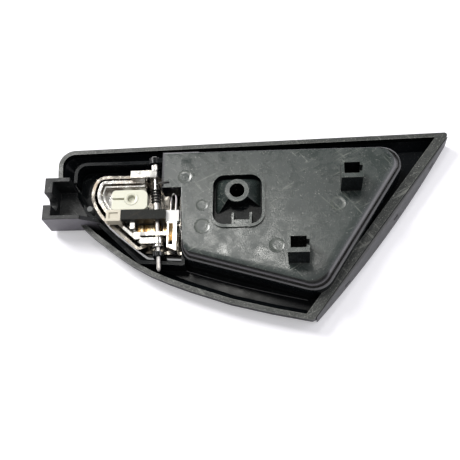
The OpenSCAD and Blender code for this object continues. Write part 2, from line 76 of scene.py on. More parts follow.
# %% Points in millimetres
def at(x, y, z):
    """A point in metres from millimetres: x and y from the screw hole, z up from the front face."""
    return Vector((x * MM, y * MM, FRONT + z * MM))


print("screw hole's rear mouth:", at(0, 0, 28))

# %% [markdown]
# ## The camera first
# Everything is seen through one view: the handle lies face down on a table, and the camera looks steeply
# down at it from the finger bowl's side, turned a little. The aim point and the lens decide the perspective,
# so they are set before any modelling and left alone afterwards.

# %% Camera
CAMERA_AT = Vector((0.0351, -0.1715, 0.3955))
CAMERA_AIM = Vector((-0.0013, -0.0314, 0.0226))
CAMERA_LENS = 62.6
CAMERA_ROLL = math.radians(0.66)

scene = bpy.context.scene
camera_data = bpy.data.cameras.new("view")
camera_data.lens = CAMERA_LENS
camera_data.clip_start = 0.01
camera = bpy.data.objects.new("view", camera_data)
scene.collection.objects.link(camera)
back = (CAMERA_AT - CAMERA_AIM).normalized()
right = Vector((0, 1, 0)).cross(back).normalized()
facing = Matrix((right, back.cross(right), back)).transposed()
camera.matrix_world = (Matrix.Translation(CAMERA_AT) @ facing.to_4x4()
                       @ Matrix.Rotation(CAMERA_ROLL, 4, "Z"))
scene.camera = camera
print("camera is", round((CAMERA_AT - CAMERA_AIM).length / MM), "mm from its aim")

# %% [markdown]
# ## Table and light
# A part shown for a catalogue stands on white in a tent of soft light, with a little more light from one side.
# Gloss needs something to reflect: an even tent makes chrome and polished plastic look flat, so the tent is
# dark near the table, has one pale band half way up, and is white overhead. The table here is a plain diffuse
# sheet that keeps the shadow. Only what the camera sees of it from above is lifted to white, by a weak
# emission, so the lamps never have to overexpose the part. Seen from below the table lets light and sight
# through, so the handle's front can be looked at too.


# %% Node helpers
def put(tree, kind, **values):
    """Adds a node. A value's name is a property of the node, or one of its inputs with _ for a space."""
    node = tree.nodes.new(kind)
    for name, value in values.items():
        if hasattr(node, name):
            setattr(node, name, value)
        else:
            node.inputs[name.replace("_", " ")].default_value = value
    return node


def join(tree, *pairs):
    """Links outputs to inputs: join(tree, (a, "Color", b, "Base Color"), ...)."""
    for a, out, b, into in pairs:
        tree.links.new(a.outputs[out], b.inputs[into])


def new_material(name):
    """An empty node material, its tree, and its output node."""
    material = bpy.data.materials.new(name)
    material.use_nodes = True
    material.node_tree.nodes.clear()
    return material, material.node_tree, put(material.node_tree, "ShaderNodeOutputMaterial")


print("node helpers ready")

# %% World
WORLD_LIGHT = 0.5                        # what the surroundings give the part
TENT = [                                 # what gloss sees at each height of the tent: 0 level, 1 overhead
    (0.00, (0.05, 0.04, 0.03)),
    (0.46, (0.07, 0.06, 0.05)),
    (0.53, (1.50, 1.42, 1.56)),
    (0.62, (1.50, 1.42, 1.56)),
    (0.72, (0.05, 0.05, 0.05)),
    (0.84, (0.08, 0.075, 0.07)),
    (0.95, (0.95, 0.95, 0.93)),
]
world = bpy.data.worlds.new("light_tent")
world.use_nodes = True
scene.world = world
tree = world.node_tree
tree.nodes.clear()
sky = put(tree, "ShaderNodeBackground", Color=(1, 0.99, 0.985, 1), Strength=WORLD_LIGHT)
white = put(tree, "ShaderNodeBackground", Color=(1, 1, 1, 1), Strength=1.0)
tent = put(tree, "ShaderNodeBackground", Strength=1.0)
toward = put(tree, "ShaderNodeTexCoord")
parts = put(tree, "ShaderNodeSeparateXYZ")
bands = put(tree, "ShaderNodeValToRGB")
for stop, (place, colour) in enumerate(TENT):
    if stop > 1:
        bands.color_ramp.elements.new(place)
    bands.color_ramp.elements[stop].position = place
    bands.color_ramp.elements[stop].color = (*colour, 1)
path = put(tree, "ShaderNodeLightPath")
through = put(tree, "ShaderNodeMath", operation="MAXIMUM")
glossy = put(tree, "ShaderNodeMixShader")
direct = put(tree, "ShaderNodeMixShader")
out = put(tree, "ShaderNodeOutputWorld")
join(tree, (path, "Is Camera Ray", through, 0), (path, "Is Transmission Ray", through, 1),
     (toward, "Generated", parts, 0), (parts, "Z", bands, 0), (bands, 0, tent, "Color"),
     (path, "Is Glossy Ray", glossy, 0), (sky, 0, glossy, 1), (tent, 0, glossy, 2),
     (through, 0, direct, 0), (glossy, 0, direct, 1), (white, 0, direct, 2), (direct, 0, out, 0))
print("surroundings at", WORLD_LIGHT, "with", len(TENT), "bands for gloss")

# %% Table
TABLE_SIZE = 4.0
TABLE_LIFT = 0.26                        # added to the table for the camera only
TABLE_GAP = 0.0003                       # keeps the part's front face just clear of the table

table_mesh = bpy.data.meshes.new("table")
grid = bmesh.new()
bmesh.ops.create_grid(grid, x_segments=2, y_segments=2, size=TABLE_SIZE / 2)
grid.to_mesh(table_mesh)
grid.free()
table = bpy.data.objects.new("table", table_mesh)
scene.collection.objects.link(table)
table.location.z = FRONT - TABLE_GAP

material, tree, out = new_material("table_white")
diffuse = put(tree, "ShaderNodeBsdfDiffuse", Color=(0.87, 0.865, 0.92, 1))
glow = put(tree, "ShaderNodeEmission", Color=(1, 1, 1, 1), Strength=TABLE_LIFT)
both = put(tree, "ShaderNodeAddShader")
clear = put(tree, "ShaderNodeBsdfTransparent")
path = put(tree, "ShaderNodeLightPath")
side = put(tree, "ShaderNodeNewGeometry")
lift = put(tree, "ShaderNodeMixShader")
pick = put(tree, "ShaderNodeMixShader")
join(tree, (diffuse, 0, both, 0), (glow, 0, both, 1), (path, "Is Camera Ray", lift, 0),
     (diffuse, 0, lift, 1), (both, 0, lift, 2), (side, "Backfacing", pick, 0),
     (lift, 0, pick, 1), (clear, 0, pick, 2), (pick, 0, out, 0))
table_mesh.materials.append(material)
print("table at", round(table.location.z / MM, 1), "mm")

# %% Lamps
LAMPS = {                                # name: (place in metres, size, watts, colour)
    "window": ((-0.55, 0.45, 0.75), 0.4, 9.0, (1.0, 0.99, 0.97)),
    "overhead": ((-0.09, 0.22, 0.80), 0.16, 1.2, (1.0, 0.99, 0.95)),
    "fill": ((0.7, 0.1, 0.5), 0.7, 1.6, (0.95, 0.95, 1.0)),
}
for name, (place, size, power, colour) in LAMPS.items():
    lamp = bpy.data.lights.new(name, "AREA")
    lamp.shape = "DISK"
    lamp.size = size
    lamp.energy = power
    lamp.color = colour
    holder = bpy.data.objects.new(name, lamp)
    scene.collection.objects.link(holder)
    holder.location = place
    holder.rotation_euler = (-Vector(place)).to_track_quat("-Z", "Y").to_euler()
scene.view_settings.view_transform = "Standard"
print("lamps:", ", ".join(LAMPS))

# %% [markdown]
# ## Shared surface effects
# Real plastics and platings share a few effects: fine moulded grain, hairline scuffs, lighter edges, and
# dust. The lighter edges are partly wear and partly a painted highlight where edges catch light. Each effect
# is a node group with named inputs, built once, so that each material can place it with its own values. The
# groups only give masks and heights. The shaders stay in the materials.


# %% Group helper
def effect(name, inputs, outputs):
    """An empty shader node group with float inputs {name: default} and named float outputs."""
    group = bpy.data.node_groups.new(name, "ShaderNodeTree")
    for label, value in inputs.items():
        socket = group.interface.new_socket(label, in_out="INPUT", socket_type="NodeSocketFloat")
        socket.default_value = value
    for label in outputs:
        group.interface.new_socket(label, in_out="OUTPUT", socket_type="NodeSocketFloat")
    return group, put(group, "NodeGroupInput"), put(group, "NodeGroupOutput")


def ramp_between(tree, low, high):
    """A node that maps low..high of its Value input smoothly to 0..1."""
    return put(tree, "ShaderNodeMapRange", interpolation_type="SMOOTHSTEP", From_Min=low, From_Max=high)


print("effects take floats and give floats")

# %% Grain: the speckle of a spark-eroded mould
grain, enter, leave = effect("moulded_grain", {"Scale": 2500.0, "Coverage": 0.5}, ["Mask", "Height"])
where = put(grain, "ShaderNodeTexCoord")
fine = put(grain, "ShaderNodeTexNoise", Detail=3.0, Roughness=0.65)
cells = put(grain, "ShaderNodeTexVoronoi", feature="F1")
low = put(grain, "ShaderNodeMath", operation="SUBTRACT")
low.inputs[0].default_value = 1.0
high = put(grain, "ShaderNodeMath", operation="ADD")
high.inputs[1].default_value = 0.14
mask = put(grain, "ShaderNodeMapRange", interpolation_type="SMOOTHSTEP")
height = put(grain, "ShaderNodeMath", operation="MULTIPLY_ADD")
height.inputs[1].default_value = 0.5
join(grain, (where, "Object", fine, "Vector"), (where, "Object", cells, "Vector"),
     (enter, "Scale", fine, "Scale"), (enter, "Scale", cells, "Scale"),
     (enter, "Coverage", low, 1), (low, 0, high, 0), (low, 0, mask, "From Min"),
     (high, 0, mask, "From Max"), (fine, 0, mask, "Value"), (mask, 0, leave, "Mask"),
     (cells, "Distance", height, 0), (fine, 0, height, 2), (height, 0, leave, "Height"))
print("grain inputs:", [s.name for s in grain.interface.items_tree if s.in_out == "INPUT"])

# %% Scuffs: short hairlines, thicker in some patches than in others
scuffs, enter, leave = effect("scuff_marks", {"Scale": 260.0, "Amount": 0.5}, ["Mask"])
where = put(scuffs, "ShaderNodeTexCoord")
lines = []
for turn in (0.5, -0.85):
    lay = put(scuffs, "ShaderNodeMapping", vector_type="TEXTURE")
    lay.inputs["Rotation"].default_value = (0, 0, turn)
    lay.inputs["Scale"].default_value = (9.0, 0.55, 1.0)
    thin = put(scuffs, "ShaderNodeTexNoise", Detail=2.0)
    sharp = ramp_between(scuffs, 0.6, 0.74)
    join(scuffs, (where, "Object", lay, "Vector"), (lay, "Vector", thin, "Vector"),
         (enter, "Scale", thin, "Scale"), (thin, 0, sharp, "Value"))
    lines.append(sharp)
both = put(scuffs, "ShaderNodeMath", operation="MAXIMUM")
patches = put(scuffs, "ShaderNodeTexNoise", Scale=60.0, Detail=1.0)
patchy = ramp_between(scuffs, 0.42, 0.62)
amount = put(scuffs, "ShaderNodeMath", operation="MULTIPLY")
final = put(scuffs, "ShaderNodeMath", operation="MULTIPLY")
join(scuffs, (lines[0], 0, both, 0), (lines[1], 0, both, 1), (where, "Object", patches, "Vector"),
     (patches, 0, patchy, "Value"), (both, 0, amount, 0), (patchy, 0, amount, 1),
     (amount, 0, final, 0), (enter, "Amount", final, 1), (final, 0, leave, "Mask"))
print("scuffs at scale 260 are about", round(1000 / 260, 1), "mm apart")

# %% Worn and lit edges: where a rounded normal differs from the true one, the edge is near
# The mask lightens edges: partly wear, partly a painted highlight where edges catch light.
edges, enter, leave = effect("rubbed_and_lit_edges", {"Radius": 0.0006, "Amount": 1.0}, ["Mask"])
soft = put(edges, "ShaderNodeBevel", samples=4)
true = put(edges, "ShaderNodeNewGeometry")
same = put(edges, "ShaderNodeVectorMath", operation="DOT_PRODUCT")
differ = put(edges, "ShaderNodeMapRange", From_Min=0.995, From_Max=0.85)
scaled = put(edges, "ShaderNodeMath", operation="MULTIPLY")
join(edges, (enter, "Radius", soft, "Radius"), (soft, 0, same, 0), (true, "Normal", same, 1),
     (same, "Value", differ, "Value"), (differ, 0, scaled, 0), (enter, "Amount", scaled, 1),
     (scaled, 0, leave, "Mask"))
print("edge wear reaches 0.6 mm in")

# %% Dust: pale specks that settle on what faces up
dust, enter, leave = effect("settled_dust", {"Scale": 900.0, "Amount": 0.5}, ["Mask"])
where = put(dust, "ShaderNodeTexCoord")
specks = put(dust, "ShaderNodeTexNoise", Detail=4.0, Roughness=0.7)
few = ramp_between(dust, 0.6, 0.72)
geometry = put(dust, "ShaderNodeNewGeometry")
axis = put(dust, "ShaderNodeSeparateXYZ")
up = ramp_between(dust, 0.3, 0.95)
here = put(dust, "ShaderNodeMath", operation="MULTIPLY")
scaled = put(dust, "ShaderNodeMath", operation="MULTIPLY")
join(dust, (where, "Object", specks, "Vector"), (enter, "Scale", specks, "Scale"),
     (specks, 0, few, "Value"), (geometry, "Normal", axis, 0), (axis, "Z", up, "Value"),
     (few, 0, here, 0), (up, 0, here, 1), (here, 0, scaled, 0), (enter, "Amount", scaled, 1),
     (scaled, 0, leave, "Mask"))
print("groups:", [g.name for g in bpy.data.node_groups])

# %% [markdown]
# ## Moulded plastics
# The black parts are one family: glossy where the mould was polished, grained where it was eroded. Their
# recipe is the same each time, so one function builds it: a dark base, lighter in the specks and scuffs and
# along the edges, where it is partly wear and partly a painted highlight, rougher where it is grained, with a
# bump for the grain. Clear names keep the values apart.


# %% Plastic recipe
def group_node(tree, group, **values):
    """Places a node group with its own input values."""
    node = put(tree, "ShaderNodeGroup")
    node.node_tree = group
    for name, value in values.items():
        node.inputs[name].default_value = value
    return node


def lighten(tree, source, mask, tint, share=1.0):
    """Mixes a colour or a colour output towards tint by a mask, and returns the mixed colour's output."""
    blend = put(tree, "ShaderNodeMix", data_type="RGBA")
    blend.inputs["B"].default_value = (*tint, 1)
    part = put(tree, "ShaderNodeMath", operation="MULTIPLY")
    part.inputs[1].default_value = share
    tree.links.new(mask, part.inputs[0])
    tree.links.new(part.outputs[0], blend.inputs["Factor"])
    if isinstance(source, bpy.types.NodeSocket):
        tree.links.new(source, blend.inputs["A"])
    else:
        blend.inputs["A"].default_value = (*source, 1)
    return blend.outputs["Result"]


RUB_AND_LIGHT_RADIUS = 0.0005                     # how far edge wear and the painted edge highlight reach in
DUST_COLOUR = (0.45, 0.44, 0.42)


def plastic(name, base, pale, rough, grain_scale=2500.0, coverage=0.35, speckle=0.5, bump=0.1,
            scuff=0.4, scuff_scale=260.0, rub_and_highlight=0.3, dusty=0.3, specular=0.5):
    """A moulded plastic: base colour, its pale shade for specks and scuffs, and its roughness range."""
    material, tree, out = new_material(name)
    shader = put(tree, "ShaderNodeBsdfPrincipled")
    shader.inputs["Specular IOR Level"].default_value = specular
    speck = group_node(tree, grain, Scale=grain_scale, Coverage=coverage)
    marks = group_node(tree, scuffs, Scale=scuff_scale, Amount=scuff)
    edge_rub_light = group_node(tree, edges, Radius=RUB_AND_LIGHT_RADIUS, Amount=rub_and_highlight)
    dirt = group_node(tree, dust, Scale=1100.0, Amount=dusty)
    colour = lighten(tree, base, speck.outputs["Mask"], pale, speckle)
    colour = lighten(tree, colour, marks.outputs["Mask"], pale, 0.8)
    # lighter edges: partly wear, partly a painted highlight
    colour = lighten(tree, colour, edge_rub_light.outputs["Mask"], pale, 1.0)
    colour = lighten(tree, colour, dirt.outputs["Mask"], DUST_COLOUR, 1.0)
    tree.links.new(colour, shader.inputs["Base Color"])
    cloud = put(tree, "ShaderNodeTexNoise", Scale=140.0, Detail=4.0)
    where = put(tree, "ShaderNodeTexCoord")
    level = put(tree, "ShaderNodeMapRange", To_Min=rough[0], To_Max=rough[1], From_Min=0.3, From_Max=0.7)
    bumps = put(tree, "ShaderNodeBump", Strength=bump, Distance=0.0002)
    join(tree, (where, "Object", cloud, "Vector"), (cloud, 0, level, "Value"),
         (level, 0, shader, "Roughness"), (speck, "Height", bumps, "Height"),
         (bumps, 0, shader, "Normal"), (shader, 0, out, 0))
    return material


GREY = (0.16, 0.165, 0.165)
black_plastic = plastic("black_moulding", (0.003, 0.004, 0.005), (0.05, 0.055, 0.055), (0.14, 0.28),
                        coverage=0.3, speckle=0.1, bump=0.02, scuff=0.25, rub_and_highlight=0.4, dusty=0.15, specular=0.08)
shoulder_plastic = plastic("polished_shoulder", (0.004, 0.005, 0.005), (0.03, 0.03, 0.03), (0.16, 0.24),
                           speckle=0.05, bump=0.01, scuff=0.15, rub_and_highlight=0.1, dusty=0.1, specular=1.0)
# the bowl's back: real grain, scuffs and dust on a lighter, greener base that is a painted sheen
bowl_sheen_plastic = plastic("bowl_painted_sheen", (0.024, 0.033, 0.031), (0.20, 0.215, 0.19), (0.13, 0.42),
                       coverage=0.38, grain_scale=1500.0, speckle=0.42, bump=0.22, scuff=0.7, scuff_scale=620.0,
                       rub_and_highlight=0.3, dusty=0.7, specular=0.62)
lip_plastic = plastic("lip_grain", (0.022, 0.025, 0.023), (0.32, 0.33, 0.30), (0.36, 0.6),
                      grain_scale=1500.0, coverage=0.44, speckle=0.9, bump=0.4, scuff=0.5, rub_and_highlight=0.5)
trim_plastic = plastic("edge_trim_grain", (0.10, 0.10, 0.105), GREY, (0.42, 0.55), grain_scale=2600.0,
                       coverage=0.45, speckle=0.4, bump=0.2, rub_and_highlight=0.3)
bracket_plastic = plastic("bracket_grain", (0.012, 0.013, 0.014), (0.12, 0.125, 0.12), (0.34, 0.5),
                          grain_scale=2000.0, coverage=0.4, speckle=0.5, bump=0.2, rub_and_highlight=0.5, specular=0.2)
# a paler, purple-grey copy of the bracket's plastic for its outer wall: painted sheen
painted_sheen_wall = plastic("bracket_wall", (0.11, 0.105, 0.12), (0.2, 0.2, 0.21), (0.4, 0.5),
                       grain_scale=2600.0, coverage=0.3, speckle=0.2, bump=0.05, scuff=0.2, rub_and_highlight=0.2, dusty=0.1)
arm_plastic = plastic("arm_black", (0.010, 0.011, 0.010), (0.06, 0.045, 0.03), (0.3, 0.45), rub_and_highlight=0.2,
                      dusty=0.1, specular=0.1)
rubber = plastic("buffer_rubber", (0.11, 0.115, 0.115), (0.2, 0.2, 0.2), (0.6, 0.75), rub_and_highlight=0.2)
white_nylon = plastic("white_nylon", (0.80, 0.80, 0.79), (0.9, 0.9, 0.9), (0.3, 0.45), scuff=0.1,
                      rub_and_highlight=0.0, dusty=0.0, bump=0.05)
cream = plastic("cream_post", (0.50, 0.46, 0.37), (0.75, 0.72, 0.66), (0.3, 0.42), scuff=0.3, rub_and_highlight=0.4,
                dusty=0.0, bump=0.05)
print("plastics:", [m.name for m in bpy.data.materials if m.name != "table_white"])

# %% [markdown]
# The cable holder is milky: light goes a little way into it before it comes out. A Principled shader does
# that with subsurface scattering, whose radius is set to a millimetre or so, the depth at which nylon glows.

# %% Milky nylon
milky, tree, out = new_material("milky_nylon")
shader = put(tree, "ShaderNodeBsdfPrincipled")
shader.inputs["Subsurface Weight"].default_value = 0.35
shader.inputs["Subsurface Scale"].default_value = 0.0012
shader.inputs["Subsurface Radius"].default_value = (1.0, 0.95, 0.8)
speck = group_node(tree, grain, Scale=1400.0, Coverage=0.4)
marks = group_node(tree, scuffs, Scale=300.0, Amount=0.35)
where = put(tree, "ShaderNodeTexCoord")
cloud = put(tree, "ShaderNodeTexNoise", Scale=300.0, Detail=3.0)
level = put(tree, "ShaderNodeMapRange", To_Min=0.25, To_Max=0.42)
bumps = put(tree, "ShaderNodeBump", Strength=0.06, Distance=0.0002)
colour = lighten(tree, (0.60, 0.60, 0.50), speck.outputs["Mask"], (0.68, 0.68, 0.58), 0.7)
colour = lighten(tree, colour, marks.outputs["Mask"], (0.5, 0.5, 0.42), 0.6)
tree.links.new(colour, shader.inputs["Base Color"])
join(tree, (where, "Object", cloud, "Vector"), (cloud, 0, level, "Value"), (level, 0, shader, "Roughness"),
     (speck, "Height", bumps, "Height"), (bumps, 0, shader, "Normal"), (shader, 0, out, 0))
print("nylon glows to", shader.inputs["Subsurface Scale"].default_value / MM, "mm")

# %% [markdown]
# ## Metals
# Chrome plate is nearly a mirror, so it looks like what is round it, and small waves in the plating matter
# more than its colour. Zinc on the pin is duller and brushed along its length. One recipe serves both, with a
# warm tint in patches that is a painted reflection of warm surroundings in the plating.


# %% Metal recipe
def metal(name, base, warm_reflection, rough, warm_reflection_share=0.4, wave=0.04, brushed=0.0, scuff=0.3):
    """A metal: its colour, the colour and share of its painted warm reflection, and its roughness range."""
    material, tree, out = new_material(name)
    shader = put(tree, "ShaderNodeBsdfPrincipled", Metallic=1.0)
    where = put(tree, "ShaderNodeTexCoord")
    cloud = put(tree, "ShaderNodeTexNoise", Scale=120.0, Detail=2.0)
    patches = ramp_between(tree, 0.45, 0.65)
    level = put(tree, "ShaderNodeMapRange", To_Min=rough[0], To_Max=rough[1], From_Min=0.35, From_Max=0.65)
    marks = group_node(tree, scuffs, Scale=400.0, Amount=scuff)
    ripple = put(tree, "ShaderNodeTexNoise", Scale=260.0, Detail=1.0)
    lay = put(tree, "ShaderNodeMapping", vector_type="TEXTURE")
    lay.inputs["Scale"].default_value = (1.0, 1.0 + 9.0 * brushed, 1.0)
    bumps = put(tree, "ShaderNodeBump", Strength=wave, Distance=0.0004)
    # painted warm reflection: the colour is warmed in noise patches
    colour = lighten(tree, base, patches.outputs[0], warm_reflection, warm_reflection_share)
    colour = lighten(tree, colour, marks.outputs["Mask"], [0.6 * c for c in base], 0.6)
    tree.links.new(colour, shader.inputs["Base Color"])
    join(tree, (where, "Object", cloud, "Vector"), (cloud, 0, patches, "Value"), (cloud, 0, level, "Value"),
         (level, 0, shader, "Roughness"), (where, "Object", lay, "Vector"), (lay, 0, ripple, "Vector"),
         (ripple, 0, bumps, "Height"), (bumps, 0, shader, "Normal"), (shader, 0, out, 0))
    return material


chrome = metal("lever_chrome", (0.80, 0.79, 0.76), (0.62, 0.52, 0.42), (0.08, 0.2),
               warm_reflection_share=0.5, wave=0.2)
shadow_chrome = metal("shaded_chrome", (0.36, 0.335, 0.30), (0.14, 0.115, 0.09), (0.12, 0.26),
                      warm_reflection_share=0.9, wave=0.25)
plating = metal("satin_plating", (0.82, 0.81, 0.78), (0.5, 0.42, 0.32), (0.12, 0.26),
                warm_reflection_share=0.5, wave=0.35)
# a darker copy of the plating for the lever's walls: painted shade
plating_painted_shade = metal("plating_painted_shade", (0.66, 0.65, 0.63), (0.22, 0.18, 0.14), (0.1, 0.24),
                     warm_reflection_share=0.7, wave=0.3)
zinc = metal("zinc_steel", (0.66, 0.65, 0.62), (0.5, 0.47, 0.42), (0.22, 0.36), brushed=1.0, wave=0.08)
spring_steel = metal("black_spring", (0.045, 0.045, 0.045), (0.09, 0.085, 0.08), (0.3, 0.42), scuff=0.1)
print("metals:", [m.name for m in (chrome, shadow_chrome, plating, plating_painted_shade, zinc, spring_steel)])

# %% [markdown]
# ## Softening the edges
# A solid from a mechanical drawing has razor-sharp edges, and no moulding or casting does. Its mesh can't be
# changed in place, so each piece is a finished copy: welded, its flat areas merged back into single faces,
# its edges rounded by a narrow bevel, and shaded smooth except across what is still sharp.


# %% Finished copies
WELD = 2e-6                              # corners closer than this become one
FLAT_ANGLE = math.radians(0.6)           # faces that differ by less than this are merged
SHARP_ANGLE = math.radians(38)           # edges sharper than this are rounded
ROUNDED_ANGLE = math.radians(50)         # edges that still look sharp once rounded
BEVEL_STEPS = 2


def welded(node):
    """A new mesh of a CAD node: corners welded, flat areas merged into single faces."""
    source = nodes[node].data
    mesh = bpy.data.meshes.new(node)
    mesh.from_pydata([v.co for v in source.vertices], [], [tuple(p.vertices) for p in source.polygons])
    work = bmesh.new()
    work.from_mesh(mesh)
    bmesh.ops.remove_doubles(work, verts=work.verts, dist=WELD)
    bmesh.ops.dissolve_limit(work, angle_limit=FLAT_ANGLE, verts=work.verts, edges=work.edges)
    work.to_mesh(mesh)
    work.free()
    return mesh


def settle(piece):
    """Applies a piece's modifiers to its mesh."""
    graph = bpy.context.evaluated_depsgraph_get()
    mesh = bpy.data.meshes.new_from_object(piece.evaluated_get(graph))
    piece.modifiers.clear()
    piece.data = mesh


def finished(node, name, radius, finish, body):
    """A copy of a CAD node with its edges rounded, standing for it."""
    piece = bpy.data.objects.new(name, welded(node))
    scene.collection.objects.link(piece)
    piece.data.materials.append(finish)
    for face in piece.data.polygons:
        face.use_smooth = True
    piece.data.set_sharp_from_angle(angle=SHARP_ANGLE)
    if radius:
        bevel = piece.modifiers.new("round", "BEVEL")
        bevel.width = radius * MM
        bevel.segments = BEVEL_STEPS
        bevel.limit_method = "ANGLE"
        bevel.angle_limit = SHARP_ANGLE
        bevel.use_clamp_overlap = True
        settle(piece)
        for face in piece.data.polygons:
            face.use_smooth = True
        piece.data.set_sharp_from_angle(angle=ROUNDED_ANGLE)
        flat = piece.modifiers.new("flat_faces", "WEIGHTED_NORMAL")
        flat.keep_sharp = True
        flat.weight = 100
        settle(piece)
    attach(piece, body)
    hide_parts(node)
    return piece


PIECES = [                               # node, name, edge radius in mm, finish, body, slot
    ("housing", "escutcheon_moulding", 0.25, black_plastic, "escutcheon", "black_plastic"),
    ("edge_trim", "edge_trim_strip", 0.3, trim_plastic, "escutcheon", "grey_plastic"),
    ("cable_bracket", "cable_outlet", 0.3, bracket_plastic, "escutcheon", "black_plastic"),
    ("pin_clip", "pin_washer", 0.1, zinc, "escutcheon", "steel"),
    ("spring_sleeve", "pin_sleeve", 0.05, zinc, "escutcheon", "steel"),
    ("stop_buffer", "rest_buffer", 0.3, rubber, "escutcheon", "rubber"),
    ("lever_shell", "lever_skin", 0.6, shadow_chrome, "lever", "chrome"),
    ("lever_core", "lever_walls", 0.2, plating_painted_shade, "lever", "bright_plating"),
    ("lever_frame", "pivot_frame", 0.15, plating, "lever", "bright_plating"),
    ("release_arm", "pull_arm", 0.25, arm_plastic, "lever", "arm_black"),
    ("arm_post", "arm_end", 0.25, cream, "lever", "post_cream"),
    ("stop_block", "stop_pad", 0.3, white_nylon, "lever", "white_nylon"),
    ("wire_clip", "wire_loop", 0.0, chrome, "lever", "chrome"),
    ("cable_retainer", "cable_holder", 0.3, milky, "lever", "milky_nylon"),
    ("retainer_stud", "holder_stud", 0.15, plating, "lever", "bright_plating"),
]
made = {}
for node, name, radius, finish, body, slot in PIECES:
    made[node] = finished(node, name, radius, finish, body)
    print(f"{name}: {len(made[node].data.polygons)} faces")

# %% Finishes by height: the lip is grained; the bowl's back is less polished, its lighter green a painted sheen
LIP_HEIGHT, BOWL_HEIGHT, POCKET_FLOOR = 12.0, 24.0, 20.0
POCKET_HALF = (14.5, 16.0)               # half of the boss pocket's width and length
POCKET_Y = -4.0                          # the pocket's middle, below the screw hole
PLAIN, LIP, BOWL, SHOULDER = range(4)    # the housing's material slots


def in_pocket(point):
    """True inside the square pocket round the screw boss."""
    return abs(point.x) < POCKET_HALF[0] * MM and abs(point.y - POCKET_Y * MM) < POCKET_HALF[1] * MM


housing = made["housing"].data
for extra in (lip_plastic, bowl_sheen_plastic, shoulder_plastic):
    housing.materials.append(extra)
counts = [0, 0, 0, 0]
for face in housing.polygons:
    height = (face.center.z - FRONT) / MM
    pocket = in_pocket(face.center)
    finish = PLAIN
    if abs(height - LIP_HEIGHT) < 0.3 and face.normal.z > 0.6:
        finish = LIP
    elif height > BOWL_HEIGHT - 0.9 and face.normal.z > 0.9:
        finish = BOWL
    elif pocket and height > POCKET_FLOOR + 0.4 and face.normal.z > 0.15:
        finish = BOWL
    elif not pocket and LIP_HEIGHT + 1 < height < BOWL_HEIGHT - 0.1 and 0.15 < face.normal.z < 0.97:
        finish = SHOULDER
    face.material_index = finish
    counts[finish] += 1
print("faces left plain, and with the lip's, the bowl's and the shoulders' finish:", counts)

# %% The lever's walls get a darker copy of the plating, a painted shade; its lugs and bar get the bright one
LUG_HEIGHT = 15.5                        # what stands higher than this is a lug or the bar
walls = made["lever_core"].data
walls.materials.append(plating)
for face in walls.polygons:
    if (face.center.z - FRONT) / MM > LUG_HEIGHT:
        face.material_index = 1
print("finishes on the lever's walls:", len(walls.materials))

# %% The bracket's outer wall, facing -Y, gets a paler purple-grey copy of its plastic: a painted sheen
OUTER_WALL_Y = -9.0
outlet = made["cable_bracket"].data
outlet.materials.append(painted_sheen_wall)
smooth = 0
for face in outlet.polygons:
    if face.normal.y < -0.7 and face.center.y < OUTER_WALL_Y * MM:
        face.material_index = 1
        smooth += 1
print("smooth bracket faces:", smooth)

# %% [markdown]
# ## Turned, swept and flat parts
# Three shapes cover the small hardware. A turned part is a profile spun round an axis, such as a pin head or
# the round mark that an ejector leaves in a moulding. A swept part is a circle carried along a path, such as a
# spring. A flat part is an outline with a thickness. Each is written here once, as a mesh that shades smoothly.


# %% Mesh helpers
def mesh_piece(name, points, faces, finish, body, sharp=40):
    """A shaded piece from points and faces, riding on a body."""
    mesh = bpy.data.meshes.new(name)
    mesh.from_pydata(points, [], faces)
    work = bmesh.new()
    work.from_mesh(mesh)
    bmesh.ops.recalc_face_normals(work, faces=work.faces)
    work.to_mesh(mesh)
    work.free()
    for face in mesh.polygons:
        face.use_smooth = True
    mesh.set_sharp_from_angle(angle=math.radians(sharp))
    mesh.materials.append(finish)
    piece = bpy.data.objects.new(name, mesh)
    scene.collection.objects.link(piece)
    if body:
        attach(piece, body)
    return piece


def ring_faces(rings, steps):
    """Quads between neighbouring rings of points, and a cap at each end."""
    faces = []
    for ring in range(rings - 1):
        for k in range(steps):
            a, b = ring * steps + k, ring * steps + (k + 1) % steps
            faces.append((a, b, b + steps, a + steps))
    return faces + [tuple(range(steps)), tuple(range((rings - 1) * steps, rings * steps))]


AXLE = 0.001                             # stands for a radius of nothing, in mm, so that rings stay rings


def turned(name, profile, place, finish, body, steps=48, ridges=0, ridge=0.0):
    """Spins a profile of (radius, height) in mm about the local Z of a placing matrix. Ridges make a knurl."""
    points = []
    for radius, height in profile:
        for k in range(steps):
            turn = 2 * math.pi * k / steps
            r = max(radius, AXLE) + (ridge * math.cos(ridges * turn) if ridges else 0.0)
            points.append(place @ Vector((r * math.cos(turn) * MM, r * math.sin(turn) * MM, height * MM)))
    return mesh_piece(name, points, ring_faces(len(profile), steps), finish, body)


def swept(name, path, radius, finish, body, sides=12):
    """A round wire of one radius in mm along a path of points in metres."""
    points = []
    side = None
    for i, here in enumerate(path):
        along = (path[min(i + 1, len(path) - 1)] - path[max(i - 1, 0)]).normalized()
        side = along.orthogonal() if side is None else side - along * side.dot(along)
        side.normalize()
        other = along.cross(side)
        for k in range(sides):
            turn = 2 * math.pi * k / sides
            points.append(here + (side * math.cos(turn) + other * math.sin(turn)) * radius * MM)
    return mesh_piece(name, points, ring_faces(len(path), sides), finish, body)


def prism(name, loop, low, high, finish, body):
    """A flat-topped solid over a closed outline in millimetres."""
    count = len(loop)
    points = [at(x, y, low) for x, y in loop] + [at(x, y, high) for x, y in loop]
    faces = [tuple(range(count)), tuple(range(count, 2 * count))]
    faces += [(k, (k + 1) % count, (k + 1) % count + count, k + count) for k in range(count)]
    return mesh_piece(name, points, faces, finish, body, sharp=30)


def stand_at(x, y, z):
    """A placing matrix for an upright turned part."""
    return Matrix.Translation(at(x, y, z))


